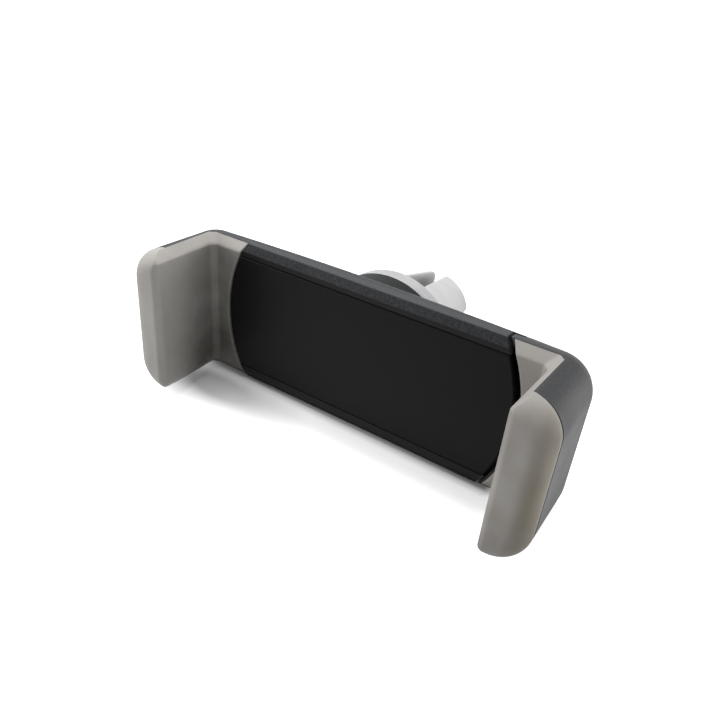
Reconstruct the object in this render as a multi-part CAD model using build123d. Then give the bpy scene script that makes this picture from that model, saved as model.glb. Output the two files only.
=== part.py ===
from build123d import *
import math
import os

# Air vent phone holder: a spring-loaded clamp for a phone on a swivelling vent clip.
# One jaw is moulded on the rear housing. The other slides out on a flat tongue, against
# two extension springs. A four-fingered clip turns on the hub behind the housing.
#
# Axes: X along the body, -Y towards the phone, +Y into the vent, +Z up.
# Origin: on the swivel axis, at the floor of the slots between the clip's fingers.
# The jaws are modelled closed. All lengths are in millimetres.

os.makedirs("parts", exist_ok=True)

# Body: outside
jaw_gap = 57.0             # between the grip faces, jaws closed, at the foot of the walls
wall_thickness = 5.65      # grip face to the jaw's outer side
body_height = 24.5
body_depth = 6.9           # front plate's face to the crown of the back
jaw_reach = 13.0           # front plate's face to the jaw tips
corner_radius = 5.2        # seen from the front
rear_radius = 5.1          # round between the sides and the back
crown_radius = 450.0       # gentle crown of the back, along the body
tip_radius = 3.0           # round on the jaws' front edges

# Front plate, the frame round it, and the joint between housing and sliding jaw
plate_height = 20.0
plate_half_length = 25.5   # at mid height, where the curved ends stand out most
plate_corner_x = 23.2      # at the plate's corners
plate_thickness = 1.2
plate_seam = 0.12          # round the plate
plate_chamfer = 0.2
rim_height = 21.8          # flat frame round the plate, outer edge to outer edge
rim_drop = 0.1             # frame lies this far behind the plate's face
rim_chamfer_depth = 0.55   # sloping band from the frame out to the sides
joint_gap_pad = 0.8        # curved end of the housing to the sliding pad
pad_end_x = 23.3           # sliding pad's foot starts here above and below the plate
joint_gap_shell = 0.45     # curved end of the housing to the sliding shell
lap_length = 1.2           # rear lip of the housing that covers the joint
lap_start = 2.6            # lip's front face, behind the plate's face
lap_clearance = 0.4

# Grip pads
pad_face_rise = 0.22       # pad foot in front of the plate's face
pad_wall = 1.35            # pad thickness on the jaw's wall
pad_foot = 1.12            # pad thickness on the jaw's foot
pad_corner = 0.8           # 45 degree strip in the inner corner
pad_bevel = 0.8            # bevel on the inner front edge of the tip
pad_flat_height = 21.3     # grip face between its two long chamfers
pad_chamfer_rise = 1.5
grip_lean = 0.43           # grip face leans in by this much at the tip
shell_reach = 9.4          # hard shell ends here; in front of it the tip is all pad
core_reach = 11.4          # stiffening core of the jaw inside the soft tip
core_height = 17.0
core_wall = 1.5            # soft cover over the core

# Inside of the housing
cover_thickness = 1.0
cover_side_inset = 0.05    # cover's long edges inside the plate's
cover_inset = 2.6          # cover's ends inside the curved ends of the plate
tongue_thickness = 1.5
tongue_height = 14.6
tongue_clearance = 0.1     # on each face and edge of the tongue
end_clearance = 0.3        # tongue's left end to the end of its bed, jaws closed
tongue_left_x = -20.0
tongue_right_x = 28.8
jaw_travel = 28.0
stop_length = 3.0          # rib under the tongue that ends the travel
stop_width = 2.4
stop_height = 0.6
stop_clearance = 0.15      # also what the rib has left at full travel

# Extension springs and their pins
spring_z = 4.6
spring_diameter = 2.0      # over the wire
wire_diameter = 0.4
eye_clearance = 0.05
hook_pin_radius = 0.4
fixed_pin_x = -18.6
moving_pin_x = -5.4
spring_slot_width = 2.6
spring_slot_right_x = -4.2
spring_clearance = 0.25    # coil to the back of its channel
pin_seat = 0.8             # fixed pin's seat in the housing wall

# Fasteners
cover_screw_x = 18.5
cover_screw_edge = 1.2      # middle of a screw to the cover's long edge
cover_screw_radius = 0.7
cover_screw_head = 1.15
cover_screw_length = 2.5
tongue_screw_x = 27.6
tongue_screw_z = 4.6
tongue_screw_radius = 0.8
tongue_screw_head = 1.45
tongue_screw_head_height = 0.8
tongue_screw_length = 4.2

# Hub and swivel
hub_radius = 11.2
hub_rise = 1.1
ring_radius = 11.0
ring_thickness = 3.15
ring_edge = 0.5
swivel_gap = 0.15
post_radius = 2.4
post_clearance = 0.05
hub_floor = 1.2            # hub wall that the post turns in
wave_thickness = 0.5
wave_radius = 3.4
washer_thickness = 0.4
washer_radius = 3.5
clip_screw_head = 2.5
clip_screw_head_height = 1.1
clip_screw_radius = 1.2
clip_screw_length = 5.0
well_radius = 3.8

# Clip fingers
finger_length = 15.7       # beyond the ring
finger_root_radius = 9.3
finger_end_radius = 5.6
finger_end_round = 1.3     # round on the outer edge of the end
slot_at_root = 5.8         # cross slots narrow towards the tips, to pinch the blade
slot_at_tip = 2.8
slot_lead_in = 0.9         # bevel that lets the blade in
finger_core_length = 11.0
finger_core_width = 2.0
finger_core_thickness = 1.5
finger_core_root = 6.3     # middle of the core from the axis, at the ring
finger_core_tip = 4.7      # and at its end

# Places that follow from the sizes
half_length = jaw_gap / 2 + wall_thickness
half_height = body_height / 2
hub_y = -(ring_thickness + swivel_gap)
back_y = hub_y - hub_rise
face_y = back_y - body_depth
tip_y = face_y - jaw_reach
rim_y = face_y + rim_drop
pad_y = face_y - pad_face_rise
parting_y = face_y - shell_reach
cover_y = face_y + plate_thickness
ledge_y = cover_y + cover_thickness
tongue_y = ledge_y + tongue_clearance
cavity_y = tongue_y + tongue_thickness + tongue_clearance
cavity_left_x = tongue_left_x - end_clearance
spring_y = tongue_y + spring_diameter / 2
channel_y = spring_y + spring_diameter / 2 + spring_clearance
cover_height = plate_height - 2 * cover_side_inset
cover_screw_z = cover_height / 2 - cover_screw_edge
cavity_height = tongue_height + 2 * tongue_clearance
floor_y = hub_y - hub_floor
end_bow = plate_half_length - plate_corner_x
end_radius = ((plate_height / 2) ** 2 + end_bow ** 2) / (2 * end_bow)
end_centre_x = plate_half_length - end_radius
margin = 1.0               # how far a cutting solid runs past what it cuts


def along_y(sketch, y_front, y_back):
    """A sketch drawn in X and Z, made solid from y_front to y_back."""
    return extrude(Plane.XZ.offset(-y_back) * sketch, y_back - y_front)


def along_z(sketch, z_low, z_high):
    """A sketch drawn in X and Y, made solid from z_low to z_high."""
    return extrude(Plane.XY.offset(z_low) * sketch, z_high - z_low)


def box(x_low, x_high, y_low, y_high, z_low, z_high):
    """A box between two corners."""
    size = (x_high - x_low, y_high - y_low, z_high - z_low)
    centre = ((x_low + x_high) / 2, (y_low + y_high) / 2, (z_low + z_high) / 2)
    return Pos(*centre) * Box(*size)


def rod(x, z, radius, y_front, y_back):
    """A round bar along Y."""
    return along_y(Pos(x, z) * Circle(radius), y_front, y_back)


def mirrored(shape):
    """The same shape on the other side of the middle."""
    return mirror(shape, about=Plane.YZ)


def outer_form():
    """The outside of the closed holder before it is cut into pieces."""
    outline = RectangleRounded(2 * half_length, body_height, corner_radius)
    prism = along_y(outline, tip_y, back_y + margin)
    crown = Cylinder(crown_radius, body_height + 2 * margin)
    form = prism & (Pos(0, back_y - crown_radius, 0) * crown)
    back_face = form.faces().sort_by(Axis.Y)[-1]
    form = fillet(back_face.edges(), rear_radius)
    front_face = form.faces().sort_by(Axis.Y)[0]
    return fillet(front_face.edges(), tip_radius)


def inside_arc(extra, y_front=tip_y - margin, y_back=1.0):
    """Everything on the housing's side of the curved joint, which bows out to the right."""
    high = body_height
    block = box(-2 * half_length, end_centre_x, y_front, y_back, -high, high)
    return block + rod(end_centre_x, 0, end_radius + extra, y_front, y_back)


def phone_outline(grow_x, grow_y):
    """Plan of the space between the jaws. Both jaws lean in towards the tips."""
    foot_x = jaw_gap / 2 + grow_x
    foot_y = pad_y + grow_y
    bevel_y = tip_y + pad_bevel
    lip_x = foot_x - grip_lean
    points = [
        (foot_x - pad_corner, foot_y),
        (foot_x, foot_y - pad_corner),
        (lip_x, bevel_y),
        (lip_x + pad_bevel, tip_y),
        (lip_x + pad_bevel + margin, tip_y - margin),
    ]
    left = [(-x, y) for x, y in reversed(points)]
    return make_face(Polyline(points + left, close=True))


def phone_space():
    """The space between the pads, opened out above and below by their long chamfers."""
    flat = pad_flat_height / 2
    top = half_height + margin
    grow = (top - flat) / pad_chamfer_rise
    outline = phone_outline(0, 0)
    wide = phone_outline(grow * pad_wall, grow * pad_foot)
    space = along_z(outline, -flat, flat)
    flare = loft([Plane.XY.offset(flat) * outline, Plane.XY.offset(top) * wide], ruled=True)
    return space + flare + mirror(flare, about=Plane.XY)


def pad_bed():
    """Where the pads lie on the hard shells, with the soft tips in front of the shells."""
    high = half_height + margin
    bed = along_z(phone_outline(pad_wall, pad_foot), -high, high)
    reach = half_length + margin
    return bed + box(-reach, reach, tip_y - margin, parting_y, -high, high)


def jaw_core():
    """Stiff core of the right jaw inside its soft tip."""
    inner_x = jaw_gap / 2 - grip_lean + pad_wall + core_wall / 2
    outer_x = half_length - core_wall
    core = box(inner_x, outer_x, face_y - core_reach, parting_y, -core_height / 2, core_height / 2)
    return chamfer(core.faces().sort_by(Axis.Y)[0].edges(), core_wall / 3)


def plate_outline(height, inset):
    """Plan of the front plate: straight above and below, bowed out at both ends."""
    half = height / 2
    radius = end_radius - inset
    corner_x = end_centre_x + math.sqrt(radius ** 2 - half ** 2)
    end_x = end_centre_x + radius
    edges = [
        Line((-corner_x, half), (corner_x, half)),
        ThreePointArc((corner_x, half), (end_x, 0), (corner_x, -half)),
        Line((corner_x, -half), (-corner_x, -half)),
        ThreePointArc((-corner_x, -half), (-end_x, 0), (-corner_x, half)),
    ]
    return make_face(edges)


def front_cut():
    """What lies in front of the housing's frame, with the sloping bands above and below."""
    top = half_height + margin
    rise = half_height - rim_height / 2
    band_y = rim_y + rim_chamfer_depth * (top - rim_height / 2) / rise
    points = [
        (tip_y - margin, -top),
        (band_y, -top),
        (rim_y, -rim_height / 2),
        (rim_y, rim_height / 2),
        (band_y, top),
        (tip_y - margin, top),
    ]
    profile = make_face(Polyline(points, close=True))
    reach = half_length + margin
    solid = extrude(Plane.YZ.offset(-reach) * profile, 2 * reach)
    return solid & mirrored(inside_arc(0))


def spring_channels():
    """Room for both springs behind the tongue."""
    half = spring_slot_width / 2
    channels = Part()
    for side in (-1, 1):
        middle = side * spring_z
        channels += box(
            fixed_pin_x - spring_diameter, moving_pin_x + jaw_travel + spring_diameter / 2,
            cavity_y - margin, channel_y, middle - half, middle + half)
    return channels


def tongue_cavity():
    """Room for the tongue to slide in, open at the housing's right end."""
    half = cavity_height / 2
    cavity = box(cavity_left_x, half_length, ledge_y - margin, cavity_y, -half, half)
    groove_half = stop_width / 2 + stop_clearance
    groove_end = tongue_left_x + stop_length + jaw_travel + stop_clearance
    groove_y = tongue_y + tongue_thickness + stop_height + stop_clearance
    return cavity + box(
        cavity_left_x, groove_end, cavity_y - margin, groove_y, -groove_half, groove_half)


def cover_screw_places():
    return [(side * cover_screw_x, side * cover_screw_z) for side in (-1, 1)]


def tongue_screw_places():
    return [(tongue_screw_x, side * tongue_screw_z) for side in (-1, 1)]


def rear_housing(form, bed):
    """Rear shell with its hub, the fixed jaw's hard half and the bed of the mechanism."""
    lap = inside_arc(lap_length, face_y + lap_start)
    body = form & (inside_arc(0) + lap)
    left_bed = bed & box(-2 * half_length, 0, tip_y - margin, back_y, -body_height, body_height)
    body -= left_bed - mirrored(inside_arc(0))
    body -= front_cut()
    body += mirrored(jaw_core())
    body += rod(0, 0, hub_radius, face_y + lap_start, hub_y)
    seat = plate_height + 2 * plate_seam
    body -= along_y(plate_outline(seat, -margin), rim_y - margin, ledge_y) & mirrored(inside_arc(0))
    body -= tongue_cavity()
    body -= spring_channels()
    body -= rod(0, 0, well_radius, cavity_y - margin, floor_y)
    body -= rod(0, 0, post_radius + post_clearance, floor_y - margin, hub_y + margin)
    for x, z in cover_screw_places():
        body -= rod(x, z, cover_screw_radius, ledge_y - margin, cover_y + cover_screw_length)
    for side in (-1, 1):
        body -= rod(fixed_pin_x, side * spring_z, hook_pin_radius, channel_y - margin, channel_y + pin_seat)
    return body


def front_plate():
    """Smooth plate that the phone's back lies against."""
    plate = along_y(plate_outline(plate_height, plate_seam), face_y, cover_y)
    return chamfer(plate.faces().sort_by(Axis.Y)[0].edges(), plate_chamfer)


def slide_cover():
    """Inner cover that holds the tongue in its bed, under the front plate."""
    cover = along_y(plate_outline(cover_height, cover_inset), cover_y, ledge_y)
    for x, z in cover_screw_places():
        cover -= rod(x, z, cover_screw_radius, cover_y - margin, ledge_y + margin)
        cover -= cover_screw_cone(x, z)
    return cover


def cover_screw_cone(x, z):
    """Countersunk head of a cover screw."""
    depth = cover_screw_head - cover_screw_radius
    cone = Cone(cover_screw_radius, cover_screw_head, depth, rotation=(90, 0, 0))
    return Pos(x, cover_y + depth / 2, z) * cone


def cover_screws():
    """Two countersunk screws that hold the cover, in opposite corners."""
    screws = []
    for x, z in cover_screw_places():
        shank = rod(x, z, cover_screw_radius, cover_y, cover_y + cover_screw_length)
        screws.append(shank + cover_screw_cone(x, z))
    return Compound(children=[s.solid() for s in screws])


def jaw_pad(form, bed, gap):
    """Soft pad of the right jaw: its foot, the grip wall and the thick tip."""
    half = box(0, 2 * half_length, tip_y - margin, back_y, -body_height, body_height)
    pad = (form & bed) & half
    pad -= phone_space()
    pad -= inside_arc(gap)
    if gap:
        pad -= box(0, pad_end_x, tip_y, back_y, -body_height, body_height)
    return (pad - jaw_core()).solids().sort_by(SortBy.VOLUME)[-1]


def sliding_jaw_shell(form, bed):
    """Hard half of the sliding jaw, which the tongue is screwed into."""
    lap = inside_arc(lap_length + lap_clearance, face_y + lap_start - lap_clearance)
    shell = form - inside_arc(joint_gap_shell) - lap - bed
    shell = shell.solids().sort_by(SortBy.VOLUME)[-1] + jaw_core()
    half = tongue_height / 2
    shell -= box(0, tongue_right_x, tongue_y, tongue_y + tongue_thickness, -half, half)
    seat_y = pad_y + pad_foot
    for x, z in tongue_screw_places():
        shell -= rod(x, z, tongue_screw_head, seat_y - margin, seat_y + tongue_screw_head_height)
        shell -= rod(x, z, tongue_screw_radius, seat_y, seat_y + tongue_screw_length)
    return shell


def slide_tongue():
    """Flat slide with a slot for each spring and the rib that ends its travel."""
    half = tongue_height / 2
    back = tongue_y + tongue_thickness
    tongue = box(tongue_left_x, tongue_right_x, tongue_y, back, -half, half)
    tongue = chamfer(tongue.faces().sort_by(Axis.X)[0].edges().filter_by(Axis.Y), 1.0)
    slot_half = spring_slot_width / 2
    for side in (-1, 1):
        middle = side * spring_z
        tongue -= box(
            tongue_left_x - margin, spring_slot_right_x, tongue_y - margin, back + margin,
            middle - slot_half, middle + slot_half)
        tongue -= moving_pin(side)
    rib_half = stop_width / 2
    tongue += box(
        tongue_left_x, tongue_left_x + stop_length, back, back + stop_height, -rib_half, rib_half)
    for x, z in tongue_screw_places():
        tongue -= rod(x, z, tongue_screw_radius, tongue_y - margin, back + margin)
    return tongue


def tongue_screws():
    """Two screws that hold the tongue in the sliding jaw."""
    seat_y = pad_y + pad_foot
    screws = []
    for x, z in tongue_screw_places():
        head = rod(x, z, tongue_screw_head, seat_y, seat_y + tongue_screw_head_height)
        shank = rod(x, z, tongue_screw_radius, seat_y, seat_y + tongue_screw_length)
        screws.append(head + shank)
    return Compound(children=[s.solid() for s in screws])


def moving_pin(side):
    """Cross pin in the tongue that the spring's right end hooks over."""
    length = spring_slot_width + 1.6
    return Pos(moving_pin_x, spring_y, side * spring_z) * Cylinder(hook_pin_radius, length)


def fixed_pin(side):
    """Pin in the housing that the spring's left end hooks over."""
    return rod(fixed_pin_x, side * spring_z, hook_pin_radius, tongue_y, channel_y + pin_seat)


def spring_eye():
    """Flat ring about Z that a pin passes through."""
    hole = hook_pin_radius + eye_clearance
    ring = Cylinder(hole + wire_diameter, wire_diameter)
    return ring - Cylinder(hole, 2 * wire_diameter)


def extension_spring(side):
    """Close-wound spring, its turns drawn as one sleeve, with an eye at each end."""
    eye_reach = hook_pin_radius + eye_clearance + wire_diameter / 2
    left = fixed_pin_x + eye_reach
    right = moving_pin_x - eye_reach
    outer = spring_diameter / 2
    middle = Pos((left + right) / 2, 0, 0)
    coil = Cylinder(outer, right - left, rotation=(0, 90, 0))
    coil -= Cylinder(outer - wire_diameter, right - left - 2 * wire_diameter, rotation=(0, 90, 0))
    spring = middle * coil + Pos(moving_pin_x, 0, 0) * spring_eye()
    spring += Pos(fixed_pin_x, 0, 0) * (Rot(90, 0, 0) * spring_eye())
    return Pos(0, spring_y, side * spring_z) * spring


def clip_core():
    """Ring, post and four finger cores of the vent clip in one moulding."""
    ring = rod(0, 0, ring_radius, hub_y + swivel_gap, 0)
    ring = chamfer(ring.edges().filter_by(GeomType.CIRCLE), ring_edge)
    post_end = floor_y - wave_thickness
    core = ring + rod(0, 0, post_radius, post_end, hub_y + swivel_gap)
    for quarter in range(4):
        core += finger_blade(quarter)
    core -= rod(0, 0, clip_screw_radius, post_end - margin, post_end + clip_screw_length)
    return core


def finger_blade(quarter):
    """Flat core of one finger, set across the diagonal and leaning in."""
    section = Rectangle(finger_core_thickness, finger_core_width)
    root = Plane.XZ.offset(ring_edge) * (Pos(finger_core_root, 0) * section)
    tip = Plane.XZ.offset(-finger_core_length) * (Pos(finger_core_tip, 0) * section)
    return Rot(0, 45 + 90 * quarter, 0) * loft([root, tip], ruled=True)


def finger_corner(y, slot):
    """Section of one quarter between the cross slots."""
    reach = finger_root_radius + margin
    side = reach - slot / 2
    middle = (reach + slot / 2) / 2
    return Plane.XZ.offset(-y) * (Pos(middle, middle) * Rectangle(side, side))


def finger_sleeve(quarter):
    """Soft sleeve over one finger: a quarter of a blunt cone between the cross slots."""
    end = finger_length
    points = [(0, 0), (finger_root_radius, 0), (finger_end_radius, end), (0, end)]
    cone = revolve(make_face(Polyline(points, close=True)), axis=Axis.Y)
    cone = fillet(cone.edges().sort_by(Axis.Y)[-1], finger_end_round)
    corner = loft([finger_corner(0, slot_at_root), finger_corner(end, slot_at_tip)], ruled=True)
    end_edges = corner.faces().sort_by(Axis.Y)[-1].edges()
    inner_edges = end_edges.sort_by(Axis.X)[:1] + end_edges.sort_by(Axis.Z)[:1]
    corner = chamfer(inner_edges, slot_lead_in)
    sleeve = Rot(0, 90 * quarter, 0) * (cone & corner)
    return sleeve - finger_blade((quarter + 3) % 4)


def wave_washer():
    """Spring washer between the hub wall and the flat washer."""
    ring = rod(0, 0, wave_radius, floor_y - wave_thickness, floor_y)
    return ring - rod(0, 0, post_radius + post_clearance, floor_y - 2 * wave_thickness, floor_y + margin)


def clip_washer():
    """Flat washer on the end of the clip's post."""
    back = floor_y - wave_thickness
    ring = rod(0, 0, washer_radius, back - washer_thickness, back)
    return ring - rod(0, 0, clip_screw_radius, back - 2 * washer_thickness, back + margin)


def clip_screw():
    """Screw that holds the clip to the housing, driven from inside the housing."""
    seat = floor_y - wave_thickness - washer_thickness
    head = rod(0, 0, clip_screw_head, seat - clip_screw_head_height, seat)
    head = chamfer(head.edges().sort_by(Axis.Y)[0], 0.3)
    shank_end = floor_y - wave_thickness + clip_screw_length
    shank = rod(0, 0, clip_screw_radius, seat, shank_end)
    return head + shank


def build():
    """Every piece by name."""
    form = outer_form()
    bed = pad_bed()
    pieces = {
        "rear_housing": rear_housing(form, bed),
        "front_plate": front_plate(),
        "slide_cover": slide_cover(),
        "cover_screws": cover_screws(),
        "fixed_jaw_pad": mirrored(jaw_pad(form, bed, 0)),
        "sliding_jaw_shell": sliding_jaw_shell(form, bed),
        "sliding_jaw_pad": jaw_pad(form, bed, joint_gap_pad),
        "slide_tongue": slide_tongue(),
        "tongue_screws": tongue_screws(),
        "clip_core": clip_core(),
        "wave_washer": wave_washer(),
        "clip_washer": clip_washer(),
        "clip_screw": clip_screw(),
    }
    for side, name in ((1, "upper"), (-1, "lower")):
        pieces[f"{name}_spring"] = extension_spring(side)
        pieces[f"{name}_fixed_pin"] = fixed_pin(side)
        pieces[f"{name}_moving_pin"] = moving_pin(side)
    places = ("upper_right", "lower_right", "lower_left", "upper_left")
    for quarter, place in enumerate(places):
        pieces[f"{place}_finger_sleeve"] = finger_sleeve(quarter)
    return pieces


for name, piece in build().items():
    export_step(piece, f"parts/{name}.step")
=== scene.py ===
import math

import bmesh
import bpy
import numpy as np
from bpy.props import FloatProperty, FloatVectorProperty, PointerProperty
from bpy.types import Operator, Panel, PropertyGroup
from mathutils import Matrix, Vector


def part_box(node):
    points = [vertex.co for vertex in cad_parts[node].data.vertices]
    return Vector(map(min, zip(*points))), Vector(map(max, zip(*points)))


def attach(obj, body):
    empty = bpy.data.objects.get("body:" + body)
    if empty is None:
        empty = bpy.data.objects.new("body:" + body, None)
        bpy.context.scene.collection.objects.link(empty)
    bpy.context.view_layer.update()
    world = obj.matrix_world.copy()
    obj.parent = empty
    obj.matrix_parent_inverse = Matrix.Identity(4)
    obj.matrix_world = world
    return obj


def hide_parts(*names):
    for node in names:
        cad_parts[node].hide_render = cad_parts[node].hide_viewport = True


bl_info = {
    "name": "Air vent phone holder",
    "version": (1, 0, 0),
    "blender": (4, 5, 0),
    "location": "View3D > Sidebar > Phone holder",
    "description": "Finishes the packed phone holder: shells, grip pads, finger sleeves, inner parts, stage",
    "category": "Object",
}

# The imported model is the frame. Everything below is in metres, in its axes:
# X along the body, -Y towards the phone, +Y into the vent, +Z up.
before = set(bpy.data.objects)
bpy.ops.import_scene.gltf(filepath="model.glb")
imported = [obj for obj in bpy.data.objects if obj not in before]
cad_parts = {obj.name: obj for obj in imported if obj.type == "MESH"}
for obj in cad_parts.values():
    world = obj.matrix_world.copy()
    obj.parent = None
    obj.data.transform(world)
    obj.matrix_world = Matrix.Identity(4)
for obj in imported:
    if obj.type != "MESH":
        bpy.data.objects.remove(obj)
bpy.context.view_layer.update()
PAD_LOW, PAD_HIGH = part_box("sliding_jaw_pad")
PLATE_LOW, PLATE_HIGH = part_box("front_plate")
FINGER_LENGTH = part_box("upper_right_finger_sleeve")[1].y

# Places on the solids that the finishes and the pads follow
HALF_HEIGHT = 0.01225          # body and jaws
RIM_HALF_HEIGHT = 0.0109       # outer edges of the frame round the plate
RIM_FACE_Y = -0.0112
RIM_END_X = 0.0262             # the frame lies within this, left and right
HUB_RADIUS = 0.0112
HUB_FRONT_Y = -0.0078          # all that shows of the hub lies behind this
BACK_Y = -0.0044               # crown of the back, which the hub stands out of
GRIP_X = 0.0285                # the jaws' grip faces, at the foot of their walls
TIP_DEPTH = 0.0036             # from the tip of the jaw back to its hard shell
PLATE_END_RADIUS = 0.02289     # the plate's curved ends
HAIR = 0.00002                 # half the width of a line between two finishes


def linear(code):
    """An sRGB hex colour as linear red, green, blue and alpha."""
    parts = [int(code[i:i + 2], 16) / 255 for i in (1, 3, 5)]
    return tuple(p / 12.92 if p <= 0.04045 else ((p + 0.055) / 1.055) ** 2.4 for p in parts) + (1.0,)


def size_field(name, description, default):
    """A size in metres, for the sidebar."""
    return FloatProperty(name=name, description=description, default=default, unit="LENGTH")


def power_field(name, description, default):
    """A lamp's power in watts, for the sidebar."""
    return FloatProperty(name=name, description=description, default=default, unit="POWER")


def colour_field(name, description, code):
    """A colour, for the sidebar, from its hex code."""
    return FloatVectorProperty(
        name=name, description=description, subtype="COLOR", size=4, default=linear(code))


class HolderPadSizes(PropertyGroup):
    """Sizes of the two soft grip pads."""
    wall: size_field("Wall", "Silicone on the grip wall", 0.00135)
    foot: size_field("Foot", "Silicone on the foot beside the plate", 0.00112)
    corner: size_field("Corner strip", "45 degree strip in the inner corner", 0.0008)
    bevel: size_field("Tip bevel", "Bevel on the inner edge of the tip", 0.0008)
    lean: size_field("Lean", "How far the grip face leans in at the tip", 0.00043)
    flat: size_field("Flat height", "Grip face between its long chamfers", 0.0213)
    rise: size_field("Chamfer rise", "Height of each long chamfer", 0.0015)
    corner_radius: size_field("Corner radius", "Jaw corners seen from the front", 0.0052)
    tip_radius: size_field("Tip radius", "Round on the jaw's front edge", 0.003)
    softness: size_field("Softness", "How far the moulded edges are rounded", 0.00022)


class HolderSleeveSizes(PropertyGroup):
    """Sizes of the four finger sleeves."""
    root_radius: size_field("Root radius", "Outside of the fingers at the ring", 0.0093)
    end_radius: size_field("End radius", "Outside of the fingers at their ends", 0.0060)
    root_slot: size_field("Slot at the ring", "Width of the cross slots at the ring", 0.0058)
    end_slot: size_field("Slot at the ends", "Width of the cross slots at the ends", 0.0020)
    end_round: size_field("End round", "Round on the outer edge of the end", 0.0018)
    lead_in: size_field("Lead-in", "Round on the slot's edges at the end", 0.0010)
    softness: size_field("Softness", "How far the corners are rounded", 0.00038)


class HolderEdges(PropertyGroup):
    """Rounds that the moulds leave on the hard pieces."""
    shell: size_field("Shell edges", "Round on the shells' edges", 0.00013)
    plate: size_field("Plate edges", "Round on the plate's edges", 0.00008)
    ring: size_field("Ring edges", "Round on the clip ring's edges", 0.00014)


class HolderColours(PropertyGroup):
    """Colours of the finishes."""
    shell: colour_field("Shell", "Dark grey ABS", "#1d1e20")
    shell_light: colour_field("Shell grain", "Peaks of the blasted grain", "#323335")
    # Colour of the painted highlight along the shells' long edges.
    shell_edge_highlight: colour_field("Shell, rubbed", "Long edges where hands rub", "#56585b")
    shell_dust: colour_field("Shell dust", "Specks caught in the grain", "#8a8a8c")
    rim: colour_field("Rim", "Smooth frame round the plate", "#0b0b0c")
    hub: colour_field("Hub", "Smooth hub behind the housing", "#181b1b")
    plate: colour_field("Plate", "Near-black back rest", "#0d0d0e")
    plate_rubbed: colour_field("Plate, rubbed", "Clouds where phones have rubbed it", "#121213")
    pad: colour_field("Pad", "Warm grey silicone", "#aca9a5")
    pad_worn: colour_field("Pad, handled", "Olive brown where hands have marked it", "#7a7365")
    pad_film: colour_field("Pad film", "Clouds where the silicone has dulled", "#8f8b86")
    # Colour of the painted shade in the pads' inner corner.
    pad_painted_shade: colour_field("Pad dirt", "Dirt in the inner corner", "#3f3c37")
    pad_lint: colour_field("Pad lint", "Specks that cling to the silicone", "#6f6c66")
    ring: colour_field("Ring", "Pale grey nylon", "#b1b0b1")
    ring_scuffed: colour_field("Ring, scuffed", "Scuffs from turning in the vent", "#97989c")
    sleeve: colour_field("Sleeve", "Milky silicone", "#c2c1c2")
    sleeve_cloud: colour_field("Sleeve clouds", "Greyer clouds in the silicone", "#b1b0b0")


class HolderStage(PropertyGroup):
    """Light and floor."""
    key: power_field("Key light", "Soft lamp above", 0.45)
    left: power_field("Left light", "Soft lamp in front on the left", 0.38)
    right: power_field("Right light", "Soft lamp behind on the right", 0.60)
    front: power_field("Front light", "Weak lamp in front on the right", 0.17)
    sky: FloatProperty(
        name="Room light", description="Even light from all round", default=0.09)
    lean_back: FloatProperty(
        name="Lean", description="How far the holder leans back where it stands", default=math.radians(8.8),
        unit="ROTATION")


GROUPS = {
    "holder_pads": HolderPadSizes,
    "holder_sleeves": HolderSleeveSizes,
    "holder_edges": HolderEdges,
    "holder_colours": HolderColours,
    "holder_stage": HolderStage,
}


def add_node(tree, kind, inputs=None, **settings):
    """Adds one node. inputs gives a socket its value, or the (node, output) that feeds it."""
    node = tree.nodes.new("ShaderNode" + kind)
    for name, value in settings.items():
        setattr(node, name, value)
    for socket, value in (inputs or {}).items():
        if isinstance(value, tuple) and isinstance(value[0], bpy.types.Node):
            tree.links.new(value[0].outputs[value[1]], node.inputs[socket])
        else:
            node.inputs[socket].default_value = value
    return node


def start_material(name):
    """A material with its shader, and the point on the piece in metres."""
    material = bpy.data.materials.new(name)
    material.use_nodes = True
    tree = material.node_tree
    tree.nodes.clear()
    shader = add_node(tree, "BsdfPrincipled")
    add_node(tree, "OutputMaterial", {"Surface": (shader, 0)})
    place = add_node(tree, "TexCoord")
    return material, tree, shader, (place, "Object")


def join_shader(tree, shader, colour, gloss, relief):
    """Feeds the shader its colour, which is a (node, output), its roughness and its relief."""
    node, output = colour
    tree.links.new(node.outputs[output], shader.inputs["Base Color"])
    tree.links.new(gloss.outputs[0], shader.inputs["Roughness"])
    tree.links.new(relief.outputs[0], shader.inputs["Normal"])


def maths(tree, operation, *values):
    """One sum on values, each a number or the (node, output) that feeds it."""
    return add_node(tree, "Math", dict(enumerate(values)), operation=operation)


def ramp(tree, source, start, end, low=0.0, high=1.0, smooth=False):
    """A value that goes from low, where the source is start, to high, where it is end."""
    return add_node(tree, "MapRange", {
        "Value": source, "From Min": start, "From Max": end, "To Min": low, "To Max": high},
        interpolation_type="SMOOTHSTEP" if smooth else "LINEAR")


def blend(tree, share, under, over):
    """A colour that goes from under to over as share goes from 0 to 1, as (node, output). The
    node keeps its two colours in inputs 6 and 7."""
    return add_node(tree, "Mix", {0: share, 6: under, 7: over}, data_type="RGBA"), 2


def seen_directly(tree):
    """1 for what the camera sees, plainly, mirrored or through a clear piece, and 0 for what
    lights the object."""
    path = add_node(tree, "LightPath")
    mirrored = maths(tree, "MAXIMUM", (path, "Is Camera Ray"), (path, "Is Glossy Ray"))
    return maths(tree, "MAXIMUM", (mirrored, 0), (path, "Is Transmission Ray"))


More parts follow.
